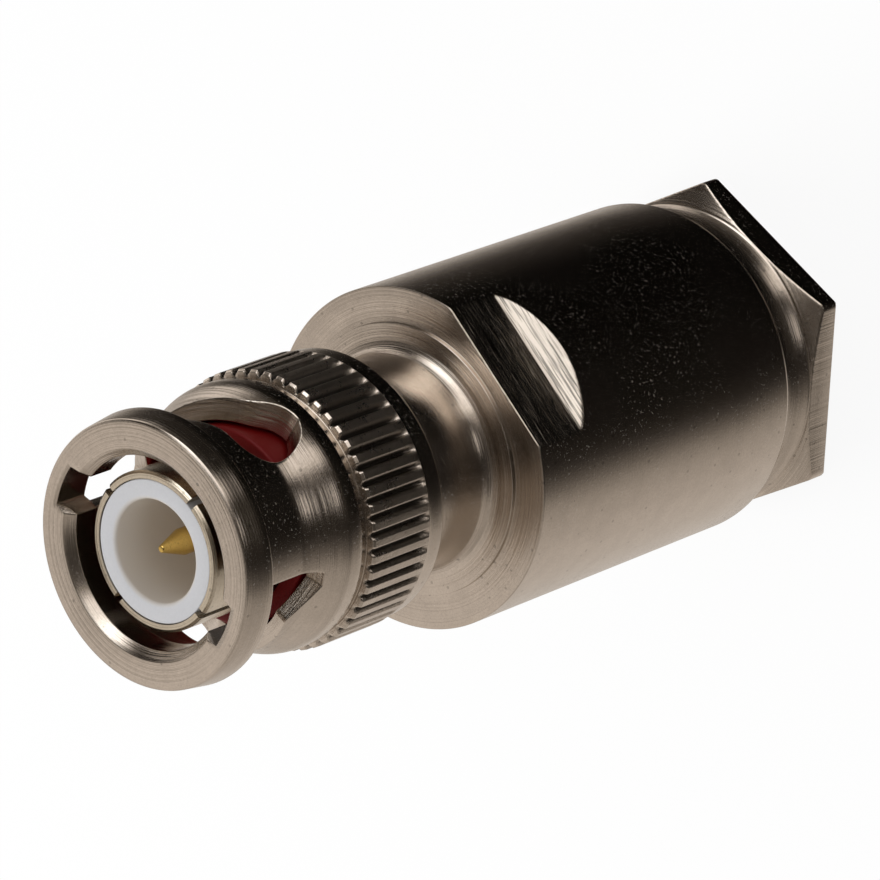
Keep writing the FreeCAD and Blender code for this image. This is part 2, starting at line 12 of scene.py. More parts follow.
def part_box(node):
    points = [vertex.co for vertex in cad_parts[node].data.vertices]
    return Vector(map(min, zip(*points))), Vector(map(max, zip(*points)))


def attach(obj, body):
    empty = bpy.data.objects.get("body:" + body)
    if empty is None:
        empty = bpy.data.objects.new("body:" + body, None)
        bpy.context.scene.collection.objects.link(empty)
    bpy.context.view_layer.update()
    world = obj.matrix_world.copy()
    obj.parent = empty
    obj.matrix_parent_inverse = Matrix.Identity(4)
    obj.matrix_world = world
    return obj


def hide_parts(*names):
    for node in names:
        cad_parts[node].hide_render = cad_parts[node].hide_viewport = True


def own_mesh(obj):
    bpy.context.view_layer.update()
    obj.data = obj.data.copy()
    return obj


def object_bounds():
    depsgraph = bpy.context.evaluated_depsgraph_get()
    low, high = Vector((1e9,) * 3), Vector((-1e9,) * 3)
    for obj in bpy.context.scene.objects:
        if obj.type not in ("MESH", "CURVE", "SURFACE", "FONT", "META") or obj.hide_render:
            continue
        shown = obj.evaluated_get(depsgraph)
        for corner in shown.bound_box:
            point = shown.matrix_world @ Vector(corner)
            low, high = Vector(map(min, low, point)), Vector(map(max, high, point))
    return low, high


bl_info = {
    "name": "Bayonet Cable Plug",
    "version": (1, 0, 0),
    "blender": (4, 5, 0),
    "location": "3D View > Sidebar > Cable Plug",
    "description": "Builds the visible pieces of a bayonet cable plug around its packed frame",
    "category": "Add Mesh",
}

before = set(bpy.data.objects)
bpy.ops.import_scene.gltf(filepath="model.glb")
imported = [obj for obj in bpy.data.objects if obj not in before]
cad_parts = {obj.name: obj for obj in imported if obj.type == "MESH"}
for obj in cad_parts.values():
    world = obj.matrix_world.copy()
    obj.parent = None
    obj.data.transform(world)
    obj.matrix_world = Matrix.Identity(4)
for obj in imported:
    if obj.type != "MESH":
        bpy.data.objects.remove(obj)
CAD_LOW, CAD_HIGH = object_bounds()
MM = 0.001
TAU = 2 * math.pi

PLUG_BODY = "plug"
RING_BODY = "bayonet_ring"


def heights(node):
    """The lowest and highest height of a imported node, in millimetres."""
    low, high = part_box(node)
    return low.z / MM, high.z / MM


RING_REAR, RING_FRONT = heights("coupling_ring")
BODY_REAR, NOSE_FRONT = heights("plug_body")
NUT_TIP = heights("clamp_nut")[1]
SLEEVE_REAR = heights("contact_sleeve")[0]
INSULATOR_FRONT = heights("front_insulator")[1]
PIN_FRONT = heights("centre_contact")[1]
GASKET_REAR, GASKET_FRONT = heights("front_gasket")

# The camera at the photograph's angle: where it stands, its right and up directions and its lens.
CAMERA_PLACE = (0.2020, -0.0612, 0.24275)
CAMERA_RIGHT = (0.5491, -0.5265, -0.6490)
CAMERA_UP = (0.5113, 0.8260, -0.2375)
CAMERA_LENS = 242.79
SENSOR_WIDTH = 36.0

# The studio that the bright plating reflects: soft lamps and dark walls. The levels are set one by one. Each band
# starts with the two elevations between which it takes over from the band below. Pairs of azimuth and brightness
# follow.
REFLECTION_WARMTH = 0.13
REFLECTION_BANDS = (
    (-90, -89, ((-180, 0.58), (-147, 0.60), (-123, 0.59), (-99, 0.49), (-82, 0.36), (-70, 0.13), (-58, 0.025),
                (-40, 0.009), (20, 0.003), (82, 0.003), (97, 0.018), (116, 0.05), (130, 0.22), (144, 0.48),
                (160, 0.60), (180, 0.57))),
    (-40, -28, ((-180, 0.50), (-128, 0.43), (-100, 0.38), (-80, 0.27), (-68, 0.08), (-52, 0.015), (-32, 0.04),
                (-12, 0.04), (5, 0.012), (90, 0.015), (108, 0.05), (125, 0.25), (140, 0.50), (180, 0.50))),
    (-26, -18, ((-180, 0.60), (-130, 0.57), (-100, 0.48), (-78, 0.40), (-64, 0.13), (-50, 0.02), (-2, 0.05),
                (3, 0.60), (14, 0.60), (20, 0.04), (45, 0.04), (72, 0.12), (88, 0.95), (125, 0.95), (180, 0.60))),
    (-14, -9, ((-180, 0.60), (-130, 0.57), (-100, 0.48), (-78, 0.40), (-64, 0.13), (-50, 0.02), (-33, 0.04),
               (-30, 1.00), (-18, 1.10), (-12, 0.06), (-2, 0.06), (3, 1.10), (14, 1.10), (22, 0.10), (50, 0.08),
               (72, 0.12), (88, 0.95), (125, 0.90), (180, 0.60))),
    (-3, 3, ((-180, 0.60), (-130, 0.56), (-100, 0.48), (-72, 0.38), (-58, 0.09), (-48, 0.01), (-20, 0.015),
             (-4, 0.07), (4, 0.90), (14, 0.90), (28, 0.40), (62, 0.20), (75, 0.20), (90, 0.90), (125, 0.85),
             (180, 0.60))),
    (7, 14, ((-180, 0.70), (-150, 0.70), (-126, 0.36), (-100, 0.40), (-84, 0.40), (-70, 0.08), (-40, 0.04),
             (-12, 0.10), (2, 0.60), (9, 1.45), (30, 1.50), (45, 2.50), (60, 2.60), (70, 0.50), (78, 0.04),
             (110, 0.04), (128, 0.20), (145, 0.60), (165, 0.70), (180, 0.74))),
    (56, 66, ((-180, 0.18), (-110, 0.27), (-89, 0.27), (-57, 0.10), (33, 0.06), (61, 0.02), (100, 0.02),
              (180, 0.18))),
)


def length(name, text, default):
    """A size in millimetres that a user may change."""
    return FloatProperty(name=name, description=text, default=default, min=0.0, soft_max=100.0, unit="NONE")


def colour(name, text, default):
    """A colour that a user may change."""
    return FloatVectorProperty(name=name, description=text, default=default, size=4, min=0.0, max=1.0,
                               subtype="COLOR")


class PlugSizes(bpy.types.PropertyGroup):
    """Sizes of the plug: lengths in millimetres, angles in degrees."""

    barrel_radius: length("Barrel Radius", "Radius of the barrel", 9.05)
    barrel_length: length("Barrel Length", "Length of the barrel", 20.65)
    edge_rounding: length("Edge Rounding", "Radius of the broken edges", 0.12)
    flat_depth: length("Flat Depth", "Depth of the wrench flats", 1.05)
    flat_length: length("Flat Length", "Length of the wrench flats", 3.65)
    flat_run_out: length("Flat Run-out", "Length over which the cutter leaves the flat", 0.75)
    hex_flat_radius: length("Hexagon", "Distance of the hexagon's flats from the axis", 8.45)
    hex_height: length("Hexagon Height", "Height of the hexagon", 1.8)
    hex_bevel: length("Hexagon Bevel", "Height of the hexagon's bevel", 0.7)
    hex_angle: FloatProperty(name="Hexagon Angle", description="Angle of a corner, in degrees", default=-17.3)
    knurl_count: IntProperty(name="Knurl Count", description="Number of knurl grooves", default=52, min=8)
    knurl_depth: length("Knurl Depth", "Depth of the knurl grooves", 0.34)
    slot_angle: FloatProperty(name="Slot Angle", description="Angle of the first lug entry, in degrees",
                              default=-68.8)
    slot_sweep: FloatProperty(name="Slot Sweep", description="Turn of the bayonet slots, in degrees",
                              default=93.0)


class PlugFinish(bpy.types.PropertyGroup):
    """Colours of the plug's finishes."""

    nickel: colour("Nickel", "Colour of the nickel plating", (0.62, 0.55, 0.48, 1.0))
    # The plating's colour, made a little whiter than the turned nickel as a painted highlight for the bright milled
    # flats.
    milled: colour("Milled Nickel", "Colour of the plating on the milled flats", (0.62, 0.57, 0.51, 1.0))
    sleeve_nickel: colour("Sleeve Plating", "Colour of the contact sleeve's plating",
                          (0.68, 0.61, 0.50, 1.0))
    gilt: colour("Gilt", "Colour of the gold-plated contact", (0.82, 0.57, 0.17, 1.0))
    white: colour("Insulator", "Colour of the white insulators", (0.69, 0.69, 0.71, 1.0))
    # Painted shade for the inside of the insulator's recess.
    recess: colour("Insulator Recess", "Colour of the shaded recess of the insulator", (0.74, 0.67, 0.58, 1.0))
    red: colour("Seal", "Colour of the red rubber seal", (0.17, 0.004, 0.004, 1.0))
    black: colour("Gasket", "Colour of the black rubber gasket", (0.02, 0.02, 0.02, 1.0))
    steel: colour("Spring Steel", "Colour of the washers and the snap ring", (0.52, 0.51, 0.50, 1.0))


class PlugStage(bpy.types.PropertyGroup):
    """Floor, light and background."""

    floor: colour("Floor", "Colour of the floor", (0.9, 0.9, 0.9, 1.0))
    floor_size: FloatProperty(name="Floor Size", description="Side of the floor", default=2.0, unit="LENGTH")
    ambient: FloatProperty(name="Ambient", description="Strength of the world's light", default=0.55)
    key_power: FloatProperty(name="Key Light", description="Power of the key light", default=0.8)


class SocketMaths:
    """A node socket that takes part in Python expressions."""

    def __init__(self, tree, socket):
        self.tree = tree
        self.socket = socket

    def node(self, kind, settings=None, outputs=0, **inputs):
        """Add a node, set its settings first, then the values or links of its sockets."""
        made = self.tree.nodes.new(kind)
        for name, value in (settings or {}).items():
            if name == "stops":
                ramp = made.color_ramp.elements
                while len(ramp) > len(value):
                    ramp.remove(ramp[-1])
                while len(ramp) < len(value):
                    ramp.new(1.0)
                for element, (place, shade) in zip(ramp, value):
                    element.position = place
                    element.color = shade
            else:
                setattr(made, name, value)
        for name, value in inputs.items():
            key = int(name[1:]) if name[0] == "_" else name.replace("_", " ")
            target = made.inputs[key]
            if isinstance(value, SocketMaths):
                self.tree.links.new(value.socket, target)
            else:
                target.default_value = value
        return SocketMaths(self.tree, made.outputs[outputs])

    def maths(self, operation, one, two=0.0):
        return self.node("ShaderNodeMath", {"operation": operation}, _0=one, _1=two)

    def __add__(self, other):
        return self.maths("ADD", self, other)

    __radd__ = __add__

    def __sub__(self, other):
        return self.maths("SUBTRACT", self, other)

    def __rsub__(self, other):
        return self.maths("SUBTRACT", other, self)

    def __mul__(self, other):
        return self.maths("MULTIPLY", self, other)

    __rmul__ = __mul__

    def __truediv__(self, other):
        return self.maths("DIVIDE", self, other)

    def __rtruediv__(self, other):
        return self.maths("DIVIDE", other, self)

    def clamped(self):
        return self.maths("MINIMUM", self.maths("MAXIMUM", self, 0.0), 1.0)

    def above(self, level, slope):
        """Nothing up to a level, and from there a rise to one."""
        return ((self - level) * slope).clamped()

    def below(self, level, slope):
        """Nothing down to a level, and from there a rise to one."""
        return ((level - self) * slope).clamped()

    def power(self, exponent):
        return self.maths("POWER", self, exponent)


def finish_name(name):
    """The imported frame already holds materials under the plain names."""
    return name + "_finish"


def new_material(name):
    """A material with one shader, and a starting point for its expressions."""
    material = bpy.data.materials.new(finish_name(name))
    material.use_nodes = True
    tree = material.node_tree
    tree.nodes.clear()
    output = tree.nodes.new("ShaderNodeOutputMaterial")
    shader = tree.nodes.new("ShaderNodeBsdfPrincipled")
    tree.links.new(shader.outputs["BSDF"], output.inputs["Surface"])
    return material, shader, SocketMaths(tree, None)


def feed(shader, start, **inputs):
    """Link expressions to the shader's sockets, or set its constants."""
    for name, value in inputs.items():
        socket = shader.inputs[name.replace("_", " ")]
        if isinstance(value, SocketMaths):
            start.tree.links.new(value.socket, socket)
        else:
            socket.default_value = value


Place = namedtuple("Place", "point x y z radius")


def place_in_mm(start):
    """The point on the piece, its three parts and its distance from the axis, in millimetres."""
    point = start.node("ShaderNodeTexCoord", outputs="Object")
    scaled = start.node("ShaderNodeVectorMath", {"operation": "SCALE"}, _0=point, Scale=1 / MM)
    parts = start.tree.nodes.new("ShaderNodeSeparateXYZ")
    start.tree.links.new(scaled.socket, parts.inputs[0])
    x, y, z = (SocketMaths(start.tree, parts.outputs[axis]) for axis in range(3))
    return Place(scaled, x, y, z, (x * x + y * y).power(0.5))


def noise(start, vector, scale=1.0, detail=2.0, roughness=0.5):
    return start.node("ShaderNodeTexNoise", {"noise_dimensions": "3D"}, Vector=vector, Scale=scale,
                      Detail=detail, Roughness=roughness)


def specks(start, vector, scale, reach, edge):
    """Round specks, where the nearest of many scattered points is closer than reach of their spacing."""
    near = start.node("ShaderNodeTexVoronoi", {"voronoi_dimensions": "3D"}, Vector=vector, Scale=scale)
    return near.below(reach, edge)


def combine(start, x=0.0, y=0.0, z=0.0):
    return start.node("ShaderNodeCombineXYZ", _0=x, _1=y, _2=z)


def darker(base, share):
    return tuple(part * share for part in base[:3]) + (1.0,)


def blend(start, amount, one, two):
    """A colour between two, by an amount that may vary. A Mix node keeps its colours in these sockets."""
    return start.node("ShaderNodeMix", {"data_type": "RGBA"}, outputs=2, _0=amount, _6=one, _7=two)


def bumped(start, height, depth, strength=0.6):
    """A normal from a height. Depth is in millimetres."""
    return start.node("ShaderNodeBump", Strength=strength, Distance=depth * MM, Height=height)


def plated_metal(name, base, roughness=0.14, grooves=0.6, ragged=0.0, painted_shade_radius=0.0):
    """Bright plating over turned metal: fine rings from the tool, cloudy wear, tarnished dots and dust.

    Inside the radius given for painted shade, the colour darkens to stand for the shade on the floors of grooves."""
    material, shader, start = new_material(name)
    place = place_in_mm(start)
    face_rings = noise(start, combine(start, place.radius * 9.0), detail=3.0, roughness=0.7)
    side_rings = noise(start, combine(start, place.z * 8.0), detail=4.0, roughness=0.8)
    clouds = noise(start, place.point, 0.8, detail=5.0, roughness=0.65)
    grain = noise(start, place.point, 9.0, detail=3.0, roughness=0.6)

    cloudy, grainy, tarnished, painted_groove_shade = (darker(base, share) for share in (0.86, 0.80, 0.45, 0.12))
    dots = specks(start, place.point, 1.3, reach=0.13, edge=25.0)
    shade = blend(start, clouds.above(0.35, slope=2.0), base, cloudy)
    shade = blend(start, grain.above(0.42, slope=4.0) * 0.5, shade, grainy)
    shade = blend(start, dots * 0.5, shade, tarnished)
    # Painted shade: inside the given radius the colour darkens, standing for the shade that fills the knurl's groove
    # floors.
    if painted_shade_radius:
        shade = blend(start, place.radius.below(painted_shade_radius, slope=7.0) * 0.85, shade, painted_groove_shade)

    # Dust lies in clumps and takes a little of the metal's shine.
    clumps = noise(start, place.point, 0.28, detail=1.0).above(0.36, slope=5.0)
    coarse_dust = specks(start, place.point, 2.3, reach=0.16, edge=16.0)
    fine_dust = specks(start, place.point, 4.4, reach=0.20, edge=12.0)
    dust = (coarse_dust + fine_dust) * clumps
    metal = 1.0 - dust.clamped() * 0.19

    rough = clouds * 0.14 + (roughness - 0.07) + grain * 0.06
    rings = face_rings * grooves * 5.5 + side_rings * grooves
    height = rings + grain * (0.3 + ragged) + clouds * ragged * 2.0
    feed(shader, start, Base_Color=shade, Metallic=metal, Roughness=rough, Normal=bumped(start, height, 0.02))
    return material


def milled_metal(name, base):
    """Plated metal with the straight scratches of a milling cutter, which run across the axis."""
    material, shader, start = new_material(name)
    place = place_in_mm(start)
    across = place.x.maths("ABSOLUTE", place.x)

    def scratches(fineness, along, **settings):
        """Noise that is fine across the cutter's path and drawn out along it."""
        drawn_out = combine(start, across * fineness, place.y * along, place.z * fineness)
        return noise(start, drawn_out, **settings)

    broad = scratches(6.0, 0.12, detail=3.0, roughness=0.7)
    fine = scratches(9.0, 0.25, detail=3.0, roughness=0.7)
    streaks = scratches(11.0, 0.30, detail=2.0, roughness=0.6).above(0.50, slope=10.0)
    shade = blend(start, streaks * 0.8, base, darker(base, 0.22))
    normal = bumped(start, broad * 1.6 + fine * 0.5, 0.03)
    feed(shader, start, Base_Color=shade, Metallic=1.0, Roughness=fine * 0.25 + 0.06, Normal=normal)
    return material


def plain_dielectric(name, base, roughness, bumps, scatter=0.0, recess=None, gloss=0.5):
    """Moulded plastic or rubber with a faint grain. A recess's radius and colour paint shade into what lies inside
    it.
    """
    material, shader, start = new_material(name)
    place = place_in_mm(start)
    grain = noise(start, place.point, 7.0, detail=3.0, roughness=0.6)
    rings = noise(start, combine(start, place.radius * 6.0, place.z * 6.0), detail=2.0, roughness=0.6)
    shade = blend(start, grain, base, darker(base, 0.9))
    # Painted shade: inside the recess's radius the colour turns to the recess's darker, warmer colour.
    if recess:
        recess_radius, recess_shade = recess
        shade = blend(start, place.radius.below(recess_radius, slope=3.5), shade, recess_shade)
    normal = bumped(start, grain * bumps + rings * bumps, 0.03, strength=0.3)
    feed(shader, start, Base_Color=shade, Roughness=grain * 0.1 + roughness, Specular_IOR_Level=gloss,
         Normal=normal)
    if scatter:
        feed(shader, start, Subsurface_Weight=scatter, Subsurface_Radius=(0.0006, 0.0006, 0.0007))
    return material


def rounded(corners):
    """An outline through corners given as radius, height and rounding, with its roundings as arcs."""
    rows = []
    last = len(corners) - 1
    steps, most_of_run = 3, 0.48
    for index, (radius, height, rounding) in enumerate(corners):
        here = Vector((radius, height))
        back = Vector(corners[max(index - 1, 0)][:2]) - here
        ahead = Vector(corners[min(index + 1, last)][:2]) - here
        if rounding == 0 or index in (0, last):
            rows.append(tuple(here))
            continue
        half = back.angle(ahead) / 2
        reach = min(rounding / math.tan(half), most_of_run * back.length, most_of_run * ahead.length)
        arc_radius = reach * math.tan(half)
        centre = here + (back.normalized() + ahead.normalized()).normalized() * (arc_radius / math.sin(half))
        first = here + back.normalized() * reach - centre
        turn = first.angle_signed(here + ahead.normalized() * reach - centre)
        for step in range(steps + 1):
            spoke = first.copy()
            spoke.rotate(Matrix.Rotation(-turn * step / steps, 2))
            rows.append(tuple(centre + spoke))
    return rows


def filled(rows, spacing):
    """The same outline with its long runs divided."""
    made = []
    for (radius, height), (next_radius, next_height) in zip(rows, rows[1:]):
        run = math.hypot(next_radius - radius, next_height - height)
        count = max(1, math.ceil(run / spacing))
        for step in range(count):
            share = step / count
            made.append((radius + (next_radius - radius) * share, height + (next_height - height) * share))
    made.append(rows[-1])
    return made


def grid_faces(row_count, columns, closed=True):
    """Quads between neighbouring rows and columns of a turned grid."""
    faces = []
    for row in range(row_count if closed else row_count - 1):
        after = (row + 1) % row_count
        for column in range(columns):
            beside = (column + 1) % columns
            faces.append((row * columns + column, row * columns + beside,
                          after * columns + beside, after * columns + column))
    return faces


def even_angles(count, start=0.0):
    return [start + TAU * step / count for step in range(count)]


def turned_points(rows, angles, shape=None):
    """Points of a turned grid in metres. A shape may change the radius and angle of each."""
    points = []
    for radius, height in rows:
        for angle in angles:
            far, turn, level = shape(radius, height, angle) if shape else (radius, angle, height)
            points.append((far * math.cos(turn) * MM, far * math.sin(turn) * MM, level * MM))
    return points


def finish_piece(node, points, faces, finish, body):
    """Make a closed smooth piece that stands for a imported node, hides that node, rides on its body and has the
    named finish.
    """
    same_point, no_length = 2e-7, 1e-7
    piece = add_mesh(node + "_piece", points, faces)
    cleaner = bmesh.new()
    cleaner.from_mesh(piece.data)
    bmesh.ops.remove_doubles(cleaner, verts=cleaner.verts, dist=same_point)
    bmesh.ops.dissolve_degenerate(cleaner, edges=cleaner.edges, dist=no_length)
    bmesh.ops.recalc_face_normals(cleaner, faces=cleaner.faces)
    for face in cleaner.faces:
        face.smooth = True
    cleaner.to_mesh(piece.data)
    cleaner.free()
    piece.data.materials.append(material_named(finish))
    weighted = piece.modifiers.new("even_shading", "WEIGHTED_NORMAL")
    weighted.weight = 60
    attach(piece, body)
    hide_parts(node)
    return piece


def turned_piece(node, corners, finish, columns=240, shape=None, angles=None):
    """A turned piece of the plug's body, from a closed list of corners."""
    longest_run = 4.0
    outline = filled(rounded([*corners, corners[0]]), longest_run)[:-1]
    angles = angles or even_angles(columns)
    points = turned_points(outline, angles, shape)
    return finish_piece(node, points, grid_faces(len(outline), len(angles)), finish, PLUG_BODY)


def give_second_finish(piece, finish, height_range, radius_range):
    """Give another finish to the piece's faces between two heights and two distances from the axis."""
    piece.data.materials.append(material_named(finish))
    for polygon in piece.data.polygons:
        x, y, z = polygon.center / MM
        radius = math.hypot(x, y)
        if height_range[0] < z < height_range[1] and radius_range[0] < radius < radius_range[1]:
            polygon.material_index = 1


def dress(node, material):
    """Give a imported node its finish."""
    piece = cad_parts[node]
    piece.data.materials.clear()
    piece.data.materials.append(material)
    for polygon in piece.data.polygons:
        polygon.use_smooth = True


def material_named(name):
    return bpy.data.materials[finish_name(name)]


def off_nearest(angle, first, count):
    """The angle from the nearest of evenly spaced directions."""
    pitch = TAU / count
    return (angle - first + pitch / 2) % pitch - pitch / 2


class CABLEPLUG_OT_clamp_nut(bpy.types.Operator):
    """Make the clamp nut with its bevelled hexagon, collar and thread"""

    bl_idname = "cableplug.clamp_nut"
    bl_label = "Make the Clamp Nut"

    def execute(self, context):
        sizes = context.scene.plug_sizes
        flat, top, bevel = sizes.hex_flat_radius, sizes.hex_height, sizes.hex_bevel
        corner = flat / math.cos(TAU / 12)
        collar, relief, crest, bore, rear_face = 8.02, 7.4, 7.85, 5.5, 7.0
        relief_length, bore_bevel, blunting, curve_steps, thread_steps = 0.9, 0.4, 0.08, 14, 30
        shoulder = NUT_TIP - 5.2
        thread_rear, thread_front, pitch, thread_depth = shoulder + 1.3, NUT_TIP - 0.5, 1.0, 0.38
        rim = sizes.edge_rounding
        first_flat = math.radians(sizes.hex_angle) + TAU / 12

        def shape(radius, height, angle):
            if height < top + 0.001:
                inset = rim if height < 0.001 else max(0.0, corner - radius) if height < rim else 0.0
                limit = (flat - min(inset, rim)) / math.cos(off_nearest(angle, first_flat, 6))
                radius = min(radius, limit, corner - blunting)
            elif thread_rear < height < thread_front and radius > relief:
                wave = (height / pitch - angle / TAU) % 1.0
                radius -= thread_depth * abs(2 * wave - 1)
            return radius, angle, height

        bevelled = [(corner - (corner - flat) * step / curve_steps, top - bevel + bevel * step / curve_steps, 0)
                    for step in range(curve_steps + 1)]
        hollow_end = shoulder - 0.15
        hollow = [(collar + (flat - 0.02 - collar) * (1 - step / curve_steps) ** 3,
                   top + (hollow_end - top) * step / curve_steps, 0) for step in range(curve_steps + 1)]
        thread = [(crest, thread_rear + (thread_front - thread_rear) * step / thread_steps, 0)
                  for step in range(thread_steps + 1)]
        corners = [(rear_face, 0.0, 0), (corner, 0.0, rim), *bevelled, *hollow, (collar, shoulder, 0.08),
                   (relief, shoulder, 0.1), (relief, shoulder + relief_length, 0.1), *thread,
                   (relief, NUT_TIP, 0.05), (bore, NUT_TIP, 0.1), (bore, bore_bevel, 0.05),
                   (bore + bore_bevel, 0.0, 0.05)]
        angles = even_angles(510, math.radians(sizes.hex_angle))
        turned_piece("clamp_nut", corners, "nickel", angles=angles, shape=shape)
        return {"FINISHED"}


class CABLEPLUG_OT_plug_body(bpy.types.Operator):
    """Make the turned body with its two milled wrench flats"""

    bl_idname = "cableplug.plug_body"
    bl_label = "Make the Plug Body"

    def execute(self, context):
        sizes = context.scene.plug_sizes
        barrel, rim = sizes.barrel_radius, sizes.edge_rounding
        front = BODY_REAR + sizes.barrel_length
        flat_rear = front - sizes.flat_length
        run_out, depth = sizes.flat_run_out, sizes.flat_depth
        lens_rear = flat_rear - run_out
        step_top, nose_rear = front + 0.25, RING_REAR - 0.05
        nose, neck, neck_root, step_radius = 5.1, 5.6, 5.75, 7.2
        bore, cavity, thread_bore = 4.12, 6.5, 7.93
        flat_distance, rear_bevel, root_height, ease_in, flat_steps = 8.0, 0.4, 1.4, 0.35, 64
        cavity_front, cavity_rear = front - 0.9, BODY_REAR + 13.45
        groove_rear, groove_front, groove = NOSE_FRONT - 1.7, NOSE_FRONT - 0.9, 4.6

        def shape(radius, height, angle):
            if lens_rear < height < front + 0.01 and radius > flat_distance - rim:
                ramp = depth * (max(0.0, flat_rear + ease_in - height) / (run_out + ease_in)) ** 1.4
                plane = barrel - depth + ramp - min(barrel - radius, rim)
                radius = min(radius, plane / max(math.cos(off_nearest(angle, 0.0, 2)), 0.01))
            return radius, angle, height

        flats = [(barrel, lens_rear - 0.02 + (front - rim + 0.01 - lens_rear) * row / flat_steps, 0)
                 for row in range(flat_steps + 1)]
        corners = [(thread_bore, BODY_REAR, 0), (barrel - rear_bevel, BODY_REAR, 0.1),
                   (barrel, BODY_REAR + rear_bevel, 0.5), (barrel, lens_rear - 0.4, 0), (barrel, lens_rear - 0.1, 0),
                   *flats, (barrel, front, rim), (flat_distance - rim - 0.01, front, 0),
                   (step_radius, front, 0.03), (step_radius, step_top, 0.04), (neck_root, step_top, 0.80),
                   (neck, step_top + root_height, 1.2), (neck, nose_rear, 0.05), (nose, nose_rear, 0.03),
                   (nose, groove_rear, 0.03), (groove, groove_rear, 0.03),
                   (groove, groove_front, 0.03), (nose, groove_front, 0.03), (nose, NOSE_FRONT, 0.1),
                   (bore, NOSE_FRONT, 0.05), (bore, cavity_front, 0.05), (cavity, cavity_front, 0.05),
                   (cavity, cavity_rear, 0.05), (thread_bore, cavity_rear, 0.05)]
        piece = turned_piece("plug_body", corners, "nickel", columns=512, shape=shape)
        give_second_finish(piece, "milled_nickel", (lens_rear, front - rim), (flat_distance - 0.1, barrel - 0.012))
        return {"FINISHED"}


class RingWall:
    """The openings in the coupling ring's wall, as a distance in millimetres from their edges."""

    def __init__(self, sizes, wall_radius):
        self.entry = math.radians(sizes.slot_angle)
        self.sweep = math.radians(sizes.slot_sweep)
        self.wall_radius = wall_radius
        self.slot_start, self.slot_end = 3.25, 5.65
        self.half_slot, self.hole = 1.3, 1.72
        self.half_window, self.window_rear = 1.76, 6.1
        self.window_flat, self.window_slope = 0.7, 1.6
        self.window_front = 1.95
        self.blend = 0.7

    def distance(self, angle, depth):
        radius = self.wall_radius(depth)
        best = math.inf
        for half_turn in (0, 1, 2):
            turn = (angle - self.entry) % TAU - half_turn * math.pi
            across = radius * turn
            window = max(abs(across) - self.half_window, depth - self.window_rear, self.window_front - depth)
            run = self.window_flat - 2 * self.half_window
            slope = ((depth - self.window_rear) * -run
                     - (across - self.half_window + self.window_flat) * self.window_slope)
            window = max(window, slope / math.hypot(run, self.window_slope))
            back = turn + self.sweep
            hole = math.hypot(radius * math.sin(back), depth - self.slot_end) - self.hole
            hole = hole if math.cos(back) > 0 else math.inf
            share = -turn / self.sweep
            middle = self.slot_start + (self.slot_end - self.slot_start) * share
            slot = max(abs(depth - middle) - self.half_slot, across, -radius * back)
            apart = abs(hole - slot)
            blend = max(self.blend - apart, 0.0) ** 2 / (4 * self.blend)
            best = min(best, window, hole, slot, min(hole, slot) - blend)
        return best


def cells_inside(wall, places, columns, outer_rows, rounding):
    """Cells of the outer wall whose middle lies in an opening or in its rounding."""
    inside = set()
    for row, after in zip(outer_rows, outer_rows[1:]):
        middle = (places[row][0][2] + places[after][0][2]) / 2
        for column in range(columns):
            here, beside = places[row][column][1], places[row][(column + 1) % columns][1]
            if wall.distance(here + off_nearest(beside, here, 1) / 2, middle) < rounding:
                inside.add((row, column))
    return inside


def open_edges(dropped, columns, outer_rows):
    """Edges between dropped and kept cells, from corner to corner."""
    row_after = dict(zip(outer_rows, outer_rows[1:]))
    row_before = dict(zip(outer_rows[1:], outer_rows))
    edges = []
    for row, column in dropped:
        beside, before, after = (column + 1) % columns, (column - 1) % columns, row_after[row]
        if (row, before) not in dropped:
            edges.append(((after, column), (row, column)))
        if (row, beside) not in dropped:
            edges.append(((row, beside), (after, beside)))
        if (row_before.get(row), column) not in dropped:
            edges.append(((row, column), (row, beside)))
        if (after, column) not in dropped:
            edges.append(((after, beside), (after, column)))
    return edges


def settled(wall, place, rounding):
    """An outer corner moved to where an opening's rounding begins, and its direction away from the opening."""
    small, flat_slope, tries = 0.01, 0.1, 4
    radius, angle, depth = place
    for _ in range(tries):
        value = wall.distance(angle, depth)
        across = wall.distance(angle + small / radius, depth) - wall.distance(angle - small / radius, depth)
        along = wall.distance(angle, depth + small) - wall.distance(angle, depth - small)
        slope = Vector((across, along)) / (2 * small)
        if slope.length < flat_slope:
            break
        shift = (value - rounding) / slope.length_squared
        angle -= slope.x * shift / radius
        depth = max(depth - slope.y * shift, wall.window_front)
    slope = slope.normalized() if slope.length > flat_slope else Vector((0.0, 0.0))
    return wall.wall_radius(depth), angle, depth, slope


